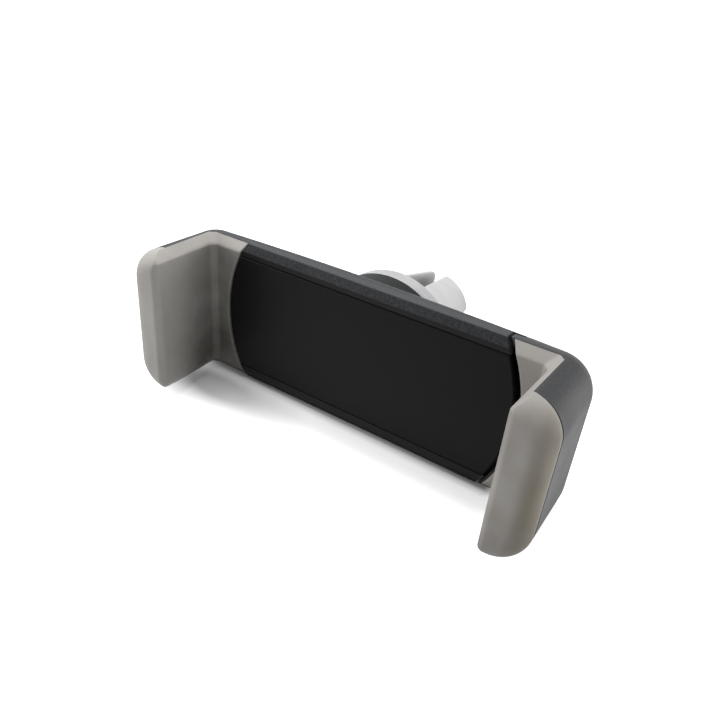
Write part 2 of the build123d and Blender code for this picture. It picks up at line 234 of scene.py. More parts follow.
def rim_and_band_shade_mask(tree, axes):
    """1 on the polished frame round the plate and 0 elsewhere. The sloping band under the frame, which faces
    down, is included as painted shade, so the mask reaches up to 0.8 mm further back there."""
    across = maths(tree, "ABSOLUTE", (axes, "X"))
    inside = ramp(tree, (across, 0), RIM_END_X, RIM_END_X + 0.0001, low=1.0, high=0.0)
    under_top = ramp(tree, (axes, "Z"), RIM_HALF_HEIGHT, RIM_HALF_HEIGHT + 2 * HAIR, low=1.0, high=0.0)
    # Painted shade: the downward-facing band under the frame is given the frame's dark colour.
    slope = ramp(tree, (axes, "Z"), -RIM_HALF_HEIGHT, -0.0118, high=0.0008)
    level_with_rim = maths(tree, "SUBTRACT", (axes, "Y"), (slope, 0))
    front = ramp(
        tree, (level_with_rim, 0), RIM_FACE_Y + 0.00003, RIM_FACE_Y + 0.00003 + 2 * HAIR, low=1.0, high=0.0)
    strip = maths(tree, "MULTIPLY", (inside, 0), (under_top, 0))
    return maths(tree, "MULTIPLY", (strip, 0), (front, 0))


def hub_mask(tree, point, axes):
    """1 on the polished hub and 0 elsewhere: on all that stands out of the crown of the back, and
    on the hub's wall, which shows further forward where the back rounds away from it."""
    flat = add_node(tree, "Mapping", {"Vector": point, "Scale": (1.0, 0.0, 1.0)})
    reach = add_node(tree, "VectorMath", {0: (flat, 0)}, operation="LENGTH")
    out = ramp(tree, (reach, "Value"), HUB_RADIUS - 0.0001 - HAIR, HUB_RADIUS - 0.0001 + HAIR)
    within = ramp(tree, (reach, "Value"), HUB_RADIUS + 2 * HAIR, HUB_RADIUS + 4 * HAIR, low=1.0, high=0.0)
    behind = ramp(tree, (axes, "Y"), HUB_FRONT_Y, HUB_FRONT_Y + 0.0001)
    top = ramp(tree, (axes, "Y"), BACK_Y + HAIR, BACK_Y + 3 * HAIR)
    band = maths(tree, "MULTIPLY", (out, 0), (within, 0))
    wall = maths(tree, "MULTIPLY", (band, 0), (behind, 0))
    return maths(tree, "MAXIMUM", (wall, 0), (top, 0))


def blasted_abs(name, grain, sheen, rubbed):
    """ABS from a sandblasted mould: dull, with a fine even grain that catches the light. The frame round the
    plate and the hub come from polished parts of the mould, so they have none. The sloping band under the
    frame, which faces down, takes the frame's dark colour as painted shade.
    grain is how deep it is, sheen is higher where hands have polished it, and rubbed is how strong a painted
    highlight along the long edges beside the frame is."""
    colours = bpy.context.scene.holder_colours
    material, tree, shader, point = start_material(name)
    # Real grit is about 0.1 mm, drawn at 0.35 mm so that it shows. Specks are about 1 mm apart.
    grit = add_node(tree, "TexNoise", {"Vector": point, "Scale": 2860.0, "Detail": 2.0, "Roughness": 0.6})
    cloud = add_node(tree, "TexNoise", {"Vector": point, "Scale": 120.0, "Detail": 3.0})
    dust = add_node(tree, "TexNoise", {"Vector": point, "Scale": 900.0, "Detail": 0.0})
    peaks = ramp(tree, (grit, 0), 0.36, 0.68, high=grain)
    specks = ramp(tree, (dust, 0), 0.82, 0.86, high=0.12)
    body = blend(tree, (peaks, 0), colours.shell, colours.shell_light)
    axes = add_node(tree, "SeparateXYZ", {0: point})
    # Painted highlight along the long edges, and only on the side of the phone.
    height = maths(tree, "ABSOLUTE", (axes, "Z"))
    crest = ramp(
        tree, (height, 0), HALF_HEIGHT - 0.00019, HALF_HEIGHT - 0.00003, high=rubbed, smooth=True)
    shoulder = ramp(tree, (axes, "Y"), -0.0100, -0.0076, low=1.0, high=0.0, smooth=True)
    edge = maths(tree, "MULTIPLY", (crest, 0), (shoulder, 0))
    edged = blend(tree, (edge, 0), body, colours.shell_edge_highlight)
    rim = rim_and_band_shade_mask(tree, axes)
    hub = hub_mask(tree, point, axes)
    # The frame's own dark colour, and painted shade on the band under it.
    with_rim = blend(tree, (rim, 0), edged, colours.rim)
    with_hub = blend(tree, (hub, 0), with_rim, colours.hub)
    smooth = maths(tree, "MAXIMUM", (rim, 0), (hub, 0))
    rough = maths(tree, "SUBTRACT", 1.0, (smooth, 0))
    caught = maths(tree, "MULTIPLY", (specks, 0), (rough, 0))
    spotted = blend(tree, (caught, 0), with_hub, colours.shell_dust)
    bumpy = maths(tree, "MULTIPLY", (rough, 0), grain)
    relief = add_node(tree, "Bump", {"Strength": (bumpy, 0), "Distance": 0.00005, "Height": (grit, 0)})
    gloss = ramp(tree, (cloud, 0), 0.3, 0.7, low=0.5, high=0.6)
    join_shader(tree, shader, spotted, gloss, relief)
    shader.inputs["IOR"].default_value = 1.53
    shader.inputs["Specular IOR Level"].default_value = sheen
    return material


def satin_polycarbonate():
    """Polycarbonate plate from a finely etched mould: near black with a soft satin sheen, slightly
    clouded where phones have rubbed it."""
    colours = bpy.context.scene.holder_colours
    material, tree, shader, point = start_material("satin_polycarbonate_plate")
    stretch = add_node(tree, "Mapping", {"Vector": point, "Scale": (1.0, 1.0, 0.35)})
    # Clouds about 7 mm wide. The etch is finer than 0.1 mm, drawn at 0.25 mm.
    rubbed = add_node(tree, "TexNoise", {
        "Vector": (stretch, 0), "Scale": 150.0, "Detail": 4.0, "Roughness": 0.6})
    etch = add_node(tree, "TexNoise", {"Vector": point, "Scale": 4000.0, "Detail": 1.0})
    shade = ramp(tree, (rubbed, 0), 0.35, 0.7, high=0.5)
    colour = blend(tree, (shade, 0), colours.plate, colours.plate_rubbed)
    gloss = ramp(tree, (rubbed, 0), 0.3, 0.7, low=0.42, high=0.5)
    relief = add_node(tree, "Bump", {"Strength": 0.12, "Distance": 0.00002, "Height": (etch, 0)})
    join_shader(tree, shader, colour, gloss, relief)
    shader.inputs["IOR"].default_value = 1.58
    shader.inputs["Specular IOR Level"].default_value = 0.07
    return material


def handled_mask(tree, axes, tip, patches, wear_and_low_shade):
    """How far hands have stained the pad: strongly on the outer round of the tip, which begins
    31 mm out, and in a few smudges on the rest of the tip."""
    across = maths(tree, "ABSOLUTE", (axes, "X"))
    outer = ramp(tree, (across, 0), 0.0309, 0.0333, smooth=True)
    worn_part = ramp(tree, (patches, 0), 0.36, 0.62, low=0.75 * wear_and_low_shade, high=wear_and_low_shade)
    handled = maths(tree, "MULTIPLY", (outer, 0), (tip, 0))
    stain = maths(tree, "MULTIPLY", (handled, 0), (worn_part, 0))
    smudge = ramp(tree, (patches, 0), 0.55, 0.75, high=0.35 * wear_and_low_shade)
    tip_smudge = maths(tree, "MULTIPLY", (smudge, 0), (tip, 0))
    return maths(tree, "MAXIMUM", (stain, 0), (tip_smudge, 0))


def painted_shade_mask(tree, axes, tip, mottle, wear_and_low_shade, corner_shade):
    """How far painted shade darkens the pad. It grows from the tip to the foot, 10 mm further back, starts
    nearer the tip low down, deepens further down and keeps off the top chamfer. The tip's lower half is also
    darker towards the bottom, as painted shade."""
    # Painted shade in the inner corner, deeper low down.
    slanted = maths(tree, "MULTIPLY_ADD", (axes, "Z"), -0.15, (axes, "Y"))
    inner = ramp(tree, (slanted, 0), -0.0225, -0.0125, high=corner_shade, smooth=True)
    under_chamfer = ramp(tree, (axes, "Z"), 0.0111, 0.0104, high=0.68)
    sunk = ramp(tree, (axes, "Z"), 0.0104, -0.006, low=0.85, high=1.55)
    shade_depth = maths(tree, "MULTIPLY", (under_chamfer, 0), (sunk, 0))
    corner = maths(tree, "MULTIPLY", (inner, 0), (shade_depth, 0))
    # Painted shade on the tip, darker towards the bottom.
    lower = ramp(tree, (axes, "Z"), -0.001, -0.012, high=0.5 * wear_and_low_shade * wear_and_low_shade, smooth=True)
    tip_low_shade = maths(tree, "MULTIPLY", (lower, 0), (tip, 0))
    corner_and_low_shade = maths(tree, "MAXIMUM", (corner, 0), (tip_low_shade, 0))
    uneven = ramp(tree, (mottle, 0), 0.3, 0.7, low=0.75)
    return maths(tree, "MULTIPLY", (corner_and_low_shade, 0), (uneven, 0))


def grip_silicone(name, wear_and_low_shade, corner_shade, film):
    """Moulded silicone rubber: warm grey and dull, faintly mottled, stained olive brown along the tip's outer
    round, where hands pull the jaws apart, and darkened by painted shade in the inner corner, more so low
    down, and towards the bottom of the tip. The first strength sets how strongly it is stained and how dark
    the painted shade low on the tip is, the second how dark the painted shade in the corner is, and film is
    how much the pad has dulled."""
    colours = bpy.context.scene.holder_colours
    material, tree, shader, point = start_material(name)
    # Mottle about 6 mm wide, stains 4 mm wide and 9 mm tall, lint 0.8 mm apart. The mould's
    # fine skin is drawn at 0.3 mm.
    mottle = add_node(tree, "TexNoise", {
        "Vector": point, "Scale": 160.0, "Detail": 4.0, "Roughness": 0.55})
    upright = add_node(tree, "Mapping", {"Vector": point, "Scale": (1.0, 1.0, 0.45)})
    patches = add_node(tree, "TexNoise", {
        "Vector": (upright, 0), "Scale": 260.0, "Detail": 2.0, "Distortion": 0.3})
    fine = add_node(tree, "TexNoise", {"Vector": point, "Scale": 3300.0, "Detail": 2.0})
    dust = add_node(tree, "TexNoise", {"Vector": point, "Scale": 1300.0, "Detail": 0.0})
    cloud = ramp(tree, (mottle, 0), 0.35, 0.7, low=film, high=film + 0.4)
    base = blend(tree, (cloud, 0), colours.pad, colours.pad_film)
    axes = add_node(tree, "SeparateXYZ", {0: point})
    tip = ramp(tree, (axes, "Y"), -0.0200, -0.0222, smooth=True)
    marks = handled_mask(tree, axes, tip, patches, wear_and_low_shade)
    worn = blend(tree, (marks, 0), base, colours.pad_worn)
    # Painted shade in the inner corner and low on the tip.
    dull = painted_shade_mask(tree, axes, tip, mottle, wear_and_low_shade, corner_shade)
    greyed = blend(tree, (dull, 0), worn, colours.pad_painted_shade)
    lint = ramp(tree, (dust, 0), 0.83, 0.87, high=0.25)
    spotted = blend(tree, (lint, 0), greyed, colours.pad_lint)
    gloss = ramp(tree, (mottle, 0), 0.0, 1.0, low=0.56, high=0.68)
    relief = add_node(tree, "Bump", {"Strength": 0.25, "Distance": 0.00003, "Height": (fine, 0)})
    join_shader(tree, shader, spotted, gloss, relief)
    shader.inputs["IOR"].default_value = 1.41
    return material


def pale_nylon():
    """Moulded nylon ring: pale grey, satin, with the faint scuffs that turning in the vent leaves."""
    colours = bpy.context.scene.holder_colours
    material, tree, shader, point = start_material("pale_nylon_ring")
    # Scuffs about 2 mm wide. The mould's fine skin is drawn at 0.3 mm.
    scuffs = add_node(tree, "TexNoise", {
        "Vector": point, "Scale": 420.0, "Detail": 5.0, "Roughness": 0.7})
    fine = add_node(tree, "TexNoise", {"Vector": point, "Scale": 3000.0, "Detail": 1.0})
    shade = ramp(tree, (scuffs, 0), 0.4, 0.68, high=0.6)
    colour = blend(tree, (shade, 0), colours.ring, colours.ring_scuffed)
    gloss = ramp(tree, (scuffs, 0), 0.0, 1.0, low=0.36, high=0.52)
    relief = add_node(tree, "Bump", {"Strength": 0.15, "Distance": 0.00002, "Height": (fine, 0)})
    join_shader(tree, shader, colour, gloss, relief)
    shader.inputs["IOR"].default_value = 1.53
    return material


def milky_silicone():
    """Unpigmented silicone: milky, light goes a millimetre or two into it, so edges glow softly."""
    colours = bpy.context.scene.holder_colours
    material, tree, shader, point = start_material("milky_silicone_sleeve")
    # Clouds in the silicone about 5 mm wide, and the mould's fine skin at 0.4 mm.
    cloud = add_node(tree, "TexNoise", {"Vector": point, "Scale": 220.0, "Detail": 3.0})
    fine = add_node(tree, "TexNoise", {"Vector": point, "Scale": 2600.0, "Detail": 2.0})
    shade = ramp(tree, (cloud, 0), 0.35, 0.7, high=0.5)
    colour = blend(tree, (shade, 0), colours.sleeve, colours.sleeve_cloud)
    gloss = ramp(tree, (cloud, 0), 0.0, 1.0, low=0.42, high=0.55)
    relief = add_node(tree, "Bump", {"Strength": 0.15, "Distance": 0.00003, "Height": (fine, 0)})
    join_shader(tree, shader, colour, gloss, relief)
    shader.inputs["IOR"].default_value = 1.41
    shader.inputs["Subsurface Weight"].default_value = 0.3
    shader.inputs["Subsurface Radius"].default_value = (1.0, 0.95, 0.9)
    shader.inputs["Subsurface Scale"].default_value = 0.0012
    return material


def plain_moulding(name, dark, light, roughness):
    """Inner moulded plastic: one colour, evenly satin, with faint flow marks from the mould."""
    material, tree, shader, point = start_material(name)
    # Flow marks about 2.5 mm wide and 9 mm long.
    stretch = add_node(tree, "Mapping", {"Vector": point, "Scale": (0.3, 1.0, 1.0)})
    flow = add_node(tree, "TexNoise", {"Vector": (stretch, 0), "Scale": 380.0, "Detail": 3.0})
    fine = add_node(tree, "TexNoise", {"Vector": point, "Scale": 3300.0, "Detail": 1.0})
    colour = blend(tree, (flow, 0), linear(dark), linear(light))
    gloss = ramp(tree, (flow, 0), 0.0, 1.0, low=roughness - 0.06, high=roughness + 0.06)
    relief = add_node(tree, "Bump", {"Strength": 0.15, "Distance": 0.00002, "Height": (fine, 0)})
    join_shader(tree, shader, colour, gloss, relief)
    shader.inputs["IOR"].default_value = 1.5
    return material


def drawn_steel(name, bright, dull, roughness, along):
    """Steel wire or plated steel: metallic, with fine lines the way it was drawn or turned. Real
    lines are under 0.1 mm apart, drawn at 0.4 mm. along is small in the direction of the lines."""
    material, tree, shader, point = start_material(name)
    stretch = add_node(tree, "Mapping", {"Vector": point, "Scale": along})
    lines = add_node(tree, "TexNoise", {"Vector": (stretch, 0), "Scale": 2500.0, "Detail": 3.0})
    colour = blend(tree, (lines, 0), linear(bright), linear(dull))
    gloss = ramp(tree, (lines, 0), 0.0, 1.0, low=roughness - 0.08, high=roughness + 0.1)
    relief = add_node(tree, "Bump", {"Strength": 0.1, "Distance": 0.00002, "Height": (lines, 0)})
    join_shader(tree, shader, colour, gloss, relief)
    shader.inputs["Metallic"].default_value = 1.0
    return material


def place_piece(mesh, name, material, body, slot, *nodes):
    """Links the mesh as a piece that rides on a body and stands for these nodes."""
    piece = bpy.data.objects.new(name, mesh)
    bpy.context.scene.collection.objects.link(piece)
    mesh.materials.append(material)
    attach(piece, body)
    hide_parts(*nodes)
    return piece


def dressed_copy(node, name):
    """A copy of a node's mesh, with its doubles merged and the triangles of flat faces joined."""
    shape = bmesh.new()
    shape.from_mesh(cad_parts[node].data)
    bmesh.ops.remove_doubles(shape, verts=shape.verts, dist=2e-6)
    bmesh.ops.dissolve_limit(shape, angle_limit=math.radians(0.3), verts=shape.verts, edges=shape.edges)
    mesh = bpy.data.meshes.new(name)
    shape.to_mesh(mesh)
    shape.free()
    for layer in ("custom_normal", "sharp_edge", "sharp_face"):
        found = mesh.attributes.get(layer)
        if found:
            mesh.attributes.remove(found)
    mesh.materials.clear()
    mesh.shade_smooth()
    return mesh


def round_edges(piece, width, angle):
    """Puts a fine round on every edge that turns by more than angle degrees, and lets the flat
    faces keep flat shading."""
    bevel = piece.modifiers.new("Edge rounds", "BEVEL")
    bevel.width = width
    bevel.segments = 2
    bevel.limit_method = "ANGLE"
    bevel.angle_limit = math.radians(angle)
    bevel.use_clamp_overlap = True
    bevel.miter_outer = "MITER_ARC"
    shading = piece.modifiers.new("Flat faces", "WEIGHTED_NORMAL")
    shading.keep_sharp = False
    shading.weight = 100


def closed_loft(rows, name):
    """A closed mesh through rows[v, u, xyz]: each row is a closed section, neighbouring rows are
    joined by four-sided faces, and the first and last row are closed by one face each."""
    count, around = rows.shape[:2]
    v, u = np.meshgrid(np.arange(count - 1), np.arange(around), indexing="ij")
    right = (u + 1) % around
    quads = np.stack([v * around + u, v * around + right, (v + 1) * around + right, (v + 1) * around + u], -1)
    first = np.arange(around)
    last = np.arange(around)[::-1] + (count - 1) * around
    faces = quads.reshape(-1, 4).tolist() + [first.tolist(), last.tolist()]
    mesh = bpy.data.meshes.new(name)
    mesh.from_pydata(rows.reshape(-1, 3).tolist(), [], faces)
    shape = bmesh.new()
    shape.from_mesh(mesh)
    bmesh.ops.remove_doubles(shape, verts=shape.verts, dist=1e-6)
    bmesh.ops.recalc_face_normals(shape, faces=shape.faces)
    shape.to_mesh(mesh)
    shape.free()
    mesh.shade_smooth()
    mesh.set_sharp_from_angle(angle=math.radians(50))
    return mesh


def spaced(lines, count):
    """Each line of points in lines[row, point, xy], divided evenly along its length into count
    points: the length along the line is the running sum of its steps."""
    steps = np.linalg.norm(np.diff(lines, axis=1), axis=2) + 1e-12
    length = np.concatenate([np.zeros((len(lines), 1)), np.cumsum(steps, axis=1)], axis=1)
    share = np.linspace(0, 1, count)
    rows = [
        np.stack([np.interp(share * l[-1], l, p[:, 0]), np.interp(share * l[-1], l, p[:, 1])], -1)
        for l, p in zip(length, lines)
    ]
    return np.array(rows)


def straight(start, end, count=40):
    """Points from start to end, row by row: start + t (end - start)."""
    t = np.linspace(0, 1, count)[None, :, None]
    return start[:, None, :] + t * (end - start)[:, None, :]


def soften(lines, amount, spacing, closed=False):
    """Rounds the corners of the lines: each pass moves a point halfway to the middle of its two
    neighbours, and n passes spread a corner over spacing * sqrt(n / 2)."""
    passes = max(1, round(2 * (amount / spacing) ** 2))
    for _ in range(passes):
        if closed:
            middle = (np.roll(lines, 1, axis=1) + np.roll(lines, -1, axis=1)) / 2
            lines = (lines + middle) / 2
        else:
            middle = (lines[:, :-2] + lines[:, 2:]) / 2
            lines[:, 1:-1] = (lines[:, 1:-1] + middle) / 2
    return lines


def grip_pad_rows(gap, foot_start):
    """Level sections of the right jaw's pad, from bottom to top.

    At height z the inner outline runs along the foot, up the wall and over the tip's bevel. It
    opens out by g of the pad's thickness, with g = (|z| - flat / 2) / rise above the flat height
    and 0 below, eased from one to the other by (g + sqrt(g^2 + ease)) / 2. The tip's front is
    tip + d, with d = r - sqrt(r^2 - (r - i)^2) and i the distance in from the jaw's outline, a
    rectangle with rounded corners. The section is what lies behind both, and its hidden side
    lies just inside the shell's bed. gap is from the plate's curved end to the foot, which
    starts no nearer to the middle than foot_start."""
    sizes = bpy.context.scene.holder_pads
    wall, foot, bevel, strip = sizes.wall, sizes.foot, sizes.bevel, sizes.corner
    radius, tip_radius = sizes.corner_radius, sizes.tip_radius
    foot_rise, plate_seam, ease = 0.00022, 0.00012, 0.006
    foot_y = PLATE_LOW.y - foot_rise
    tip_y = PAD_LOW.y
    parting_y = tip_y + TIP_DEPTH
    end_centre = PLATE_HIGH.x + plate_seam - PLATE_END_RADIUS
    # Rows 0.4 mm apart in the middle, and 0.08 mm apart over the chamfers.
    middle = np.linspace(-0.0092, 0.0092, 47)
    end = np.linspace(0.0094, HALF_HEIGHT - 0.0001, 34)
    z = np.concatenate([-end[::-1], middle, end])
    over = (np.abs(z) - sizes.flat / 2) / sizes.rise
    grow = np.clip((over + np.sqrt(over ** 2 + ease)) / 2, 0, 1.0)
    past = np.maximum(np.abs(z) - (HALF_HEIGHT - radius), 0)
    corner_x = PAD_HIGH.x - radius
    outer_x = corner_x + np.sqrt(radius ** 2 - past ** 2)

    def front(x):
        """How far the tip's front lies back at x, for each row."""
        inset = radius - np.hypot(np.maximum(x - corner_x, 0), past[:, None])
        short = np.clip(tip_radius - inset, 0, tip_radius)
        return tip_y + tip_radius - np.sqrt(tip_radius ** 2 - short ** 2)

    def points(x, y):
        """One point for each row, from x and y that are one value or one for each row."""
        return np.stack([x + 0 * z, y + 0 * z], -1)

    arc_x = end_centre + np.sqrt((PLATE_END_RADIUS + gap) ** 2 - z ** 2)
    start_x = np.maximum(arc_x, foot_start)
    lip = GRIP_X - sizes.lean + grow * wall
    foot_end = points(start_x, foot_y + grow * foot)
    strip_low = points(GRIP_X - strip + grow * wall, foot_y + grow * foot)
    strip_high = points(GRIP_X + grow * wall, foot_y + grow * foot - strip)
    bevel_low = points(lip, tip_y + bevel)
    bevel_high = points(lip + bevel, tip_y)
    turn = np.linspace(0, math.pi / 2, 90)[None, :]
    span = np.maximum(outer_x - lip - bevel, 0)[:, None]
    sweep_x = (lip + bevel)[:, None] + span * np.sin(turn)
    sweep = np.stack([sweep_x, 0 * sweep_x + tip_y], -1)

    def behind(line):
        """Moves what stands in front of the tip's rounded front, or outside the jaw, back onto it."""
        x = np.minimum(line[:, :, 0], outer_x[:, None])
        return np.stack([x, np.maximum(line[:, :, 1], front(x))], -1)

    # The side turns in by a hair at the shell, and the hidden side lies a little deeper than the
    # pad is thick.
    side_top = points(outer_x, tip_y + tip_radius)
    side_end = points(outer_x, parting_y - 0.0002)
    side_low = points(outer_x - 0.00016, parting_y - 0.00002)
    back_x = np.minimum(GRIP_X + 1.04 * wall, outer_x)
    bed_y = foot_y + 1.05 * foot
    wall_front = points(back_x, parting_y)
    wall_foot = points(back_x, bed_y - strip)
    bed_corner = points(back_x - strip, bed_y)
    bed_end = points(start_x, bed_y)
    shown = np.concatenate([
        spaced(straight(bed_end, foot_end), 8)[:, :-1],
        spaced(straight(foot_end, strip_low), 30)[:, :-1],
        spaced(straight(strip_low, strip_high), 8)[:, :-1],
        spaced(behind(straight(strip_high, bevel_low)), 70)[:, :-1],
        spaced(behind(straight(bevel_low, bevel_high)), 8)[:, :-1],
        spaced(behind(sweep), 50)[:, :-1],
        spaced(straight(side_top, side_end), 5)[:, :-1],
        spaced(straight(side_end, side_low), 3),
    ], axis=1)
    shown = soften(shown, sizes.softness, spacing=0.00016)
    hidden = np.concatenate([
        spaced(straight(side_low, wall_front), 4)[:, 1:-1],
        spaced(straight(wall_front, wall_foot), 6)[:, :-1],
        spaced(straight(wall_foot, bed_corner), 3)[:, :-1],
        spaced(straight(bed_corner, bed_end), 6)[:, :-1],
    ], axis=1)
    outline = np.concatenate([shown, hidden], axis=1)
    rows = np.zeros((*outline.shape[:2], 3))
    rows[:, :, :2] = outline
    rows[:, :, 2] = z[:, None]
    return rows


def finger_rows():
    """Sections of the upper right finger from the ring to its end.

    At distance y from the ring the section is what lies beyond the slots, x > h and z > h, and
    inside the radius r. h and r change evenly along the finger. Near the end both turn in along
    a quarter circle: r by R - sqrt(R^2 - t^2), h by the same with its own R, t past its start."""
    sizes = bpy.context.scene.holder_sleeves
    length = FINGER_LENGTH
    turn = np.sin(np.linspace(0, math.pi / 2, 14))[1:]
    shaft = length - sizes.end_round
    y = np.concatenate([np.linspace(0, shaft, 40), shaft + sizes.end_round * turn])
    y[-1] = length - 1e-6
    share = y / length
    radius = sizes.root_radius + (sizes.end_radius - sizes.root_radius) * share
    half = (sizes.root_slot + (sizes.end_slot - sizes.root_slot) * share) / 2
    past = np.clip(y - length + sizes.end_round, 0, sizes.end_round)
    radius -= sizes.end_round - np.sqrt(sizes.end_round ** 2 - past ** 2)
    past = np.clip(y - length + sizes.lead_in, 0, sizes.lead_in)
    half += sizes.lead_in - np.sqrt(sizes.lead_in ** 2 - past ** 2)
    reach = np.sqrt(radius ** 2 - half ** 2)
    inner = np.stack([half, half], -1)
    low = np.stack([reach, half], -1)
    high = np.stack([half, reach], -1)
    first = np.arctan2(half, reach)[:, None]
    angle = first + (math.pi / 2 - 2 * first) * np.linspace(0, 1, 60)[None, :]
    arc = np.stack([radius[:, None] * np.cos(angle), radius[:, None] * np.sin(angle)], -1)
    outline = np.concatenate([
        spaced(straight(inner, low), 28)[:, :-1],
        spaced(arc, 56)[:, :-1],
        spaced(straight(high, inner), 28)[:, :-1],
    ], axis=1)
    outline = soften(outline, sizes.softness, spacing=0.00021, closed=True)
    rows = np.zeros((*outline.shape[:2], 3))
    rows[:, :, 0] = outline[:, :, 0]
    rows[:, :, 1] = y[:, None]
    rows[:, :, 2] = outline[:, :, 1]
    return rows


class PHONEHOLDER_OT_shells(Operator):
    """Finish the rear housing and the sliding jaw's shell"""
    bl_idname = "phone_holder.shells"
    bl_label = "Housing and jaw shell"

    def execute(self, context):
        edge = context.scene.holder_edges.shell
        # rubbed sets the strength of the painted highlight along the long edges.
        piece = place_piece(
            dressed_copy("rear_housing", "housing_shell"), "housing_shell",
            blasted_abs("blasted_abs_housing", grain=1.0, sheen=0.14, rubbed=0.5),
            "housing", "dark_shell", "rear_housing")
        round_edges(piece, edge, angle=14)
        piece = place_piece(
            dressed_copy("sliding_jaw_shell", "jaw_shell"), "jaw_shell",
            blasted_abs("blasted_abs_jaw", grain=0.55, sheen=0.38, rubbed=0.1),
            "sliding_jaw", "dark_shell", "sliding_jaw_shell")
        round_edges(piece, edge, angle=14)
        return {"FINISHED"}


class PHONEHOLDER_OT_plate(Operator):
    """Finish the plate that the phone's back lies against"""
    bl_idname = "phone_holder.plate"
    bl_label = "Front plate"

    def execute(self, context):
        piece = place_piece(
            dressed_copy("front_plate", "back_rest"), "back_rest", satin_polycarbonate(),
            "housing", "black_plate", "front_plate")
        round_edges(piece, context.scene.holder_edges.plate, angle=20)
        return {"FINISHED"}


class PHONEHOLDER_OT_clip_ring(Operator):
    """Finish the ring and cores of the vent clip"""
    bl_idname = "phone_holder.clip_ring"
    bl_label = "Clip ring"

    def execute(self, context):
        piece = place_piece(
            dressed_copy("clip_core", "clip_ring"), "clip_ring", pale_nylon(),
            "vent_clip", "pale_plastic", "clip_core")
        round_edges(piece, context.scene.holder_edges.ring, angle=30)
        return {"FINISHED"}


class PHONEHOLDER_OT_grip_pads(Operator):
    """Make the soft pads of both jaws"""
    bl_idname = "phone_holder.grip_pads"
    bl_label = "Grip pads"

    def execute(self, context):
        # Besides stains, each pad's strengths set its painted shade in the inner corner and low on the tip.
        rows = grip_pad_rows(gap=0.0008, foot_start=0.0228)
        piece = place_piece(
            closed_loft(rows, "sliding_grip"), "sliding_grip",
            grip_silicone("grip_silicone_right", wear_and_low_shade=0.95, corner_shade=0.12, film=0.45),
            "sliding_jaw", "grey_pad", "sliding_jaw_pad")
        rows = grip_pad_rows(gap=0.0, foot_start=0.0) * (-1, 1, 1)
        piece = place_piece(
            closed_loft(rows, "fixed_grip"), "fixed_grip",
            grip_silicone("grip_silicone_left", wear_and_low_shade=0.4, corner_shade=0.9, film=0.0),
            "housing", "grey_pad", "fixed_jaw_pad")
        return {"FINISHED"}


class PHONEHOLDER_OT_finger_sleeves(Operator):
    """Make the four silicone sleeves of the vent clip"""
    bl_idname = "phone_holder.finger_sleeves"
    bl_label = "Finger sleeves"

    def execute(self, context):
        material = milky_silicone()
        rows = finger_rows()
        for quarter, place in enumerate(("upper_right", "lower_right", "lower_left", "upper_left")):
            # A quarter turn about Y for each finger.
            turn = math.radians(90 * quarter)
            turned = rows.copy()
            turned[:, :, 0] = rows[:, :, 0] * math.cos(turn) + rows[:, :, 2] * math.sin(turn)
            turned[:, :, 2] = rows[:, :, 2] * math.cos(turn) - rows[:, :, 0] * math.sin(turn)
            name = place + "_sleeve"
            piece = place_piece(
                closed_loft(turned, name), name, material, "vent_clip", "clear_sleeve",
                place + "_finger_sleeve")
        return {"FINISHED"}


class PHONEHOLDER_OT_inner_parts(Operator):
    """Give the slide, springs, pins, screws and washers their finishes"""
    bl_idname = "phone_holder.inner_parts"
    bl_label = "Inner parts"

    def execute(self, context):
        black = plain_moulding("black_abs_cover", "#1f1f20", "#2b2b2d", roughness=0.5)
        acetal = plain_moulding("dark_acetal_slide", "#2c2c2e", "#3a3a3c", roughness=0.34)
        spring = drawn_steel(
            "drawn_spring_steel", "#a9aaac", "#86878a", roughness=0.3, along=(1.0, 0.2, 0.2))
        pin = drawn_steel(
            "ground_steel_pin", "#b2b3b5", "#8f9194", roughness=0.25, along=(1.0, 0.2, 1.0))
        zinc = drawn_steel(
            "zinc_plated_steel", "#a3a7ab", "#83878c", roughness=0.34, along=(0.4, 1.0, 0.4))
        finishes = {
            "slide_cover": black,
            "slide_tongue": acetal,
            "cover_screws": zinc, "tongue_screws": zinc, "clip_screw": zinc, "clip_washer": zinc,
            "wave_washer": spring, "upper_spring": spring, "lower_spring": spring,
            "upper_fixed_pin": pin, "lower_fixed_pin": pin,
            "upper_moving_pin": pin, "lower_moving_pin": pin,
        }
        for node, material in finishes.items():
            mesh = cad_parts[node].data
            mesh.materials.clear()
            mesh.materials.append(material)
        return {"FINISHED"}


class PHONEHOLDER_OT_stage(Operator):
    """Make the floor, the lights and the camera"""
    bl_idname = "phone_holder.stage"
    bl_label = "Stage"

    def execute(self, context):
        stage = context.scene.holder_stage
        up = Vector((0.0, -math.sin(stage.lean_back), math.cos(stage.lean_back)))
        lay_floor(up)
        light_world(stage.sky)
        centre = Vector((0.0, -0.012, 0.0))
        add_lamp("Key", Vector((-0.05, 0.008, 0.20)), centre, size=0.10, power=stage.key)
        add_lamp("Left", Vector((-0.22, -0.17, 0.06)), centre, size=0.15, power=stage.left)
        add_lamp("Right", Vector((0.27, 0.13, 0.035)), centre, size=0.18, power=stage.right)
        add_lamp("Front", Vector((0.20, -0.16, 0.11)), centre, size=0.16, power=stage.front)
        add_camera()
        context.scene.view_settings.view_transform = "Standard"
        return {"FINISHED"}


def lowest_along(up):
    """The least distance along up of any point of the object."""
    low = []
    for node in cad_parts.values():
        co = np.zeros(len(node.data.vertices) * 3, np.float32)
        node.data.vertices.foreach_get("co", co)
        low.append((co.reshape(-1, 3) @ np.array(up)).min())
    return float(min(low))


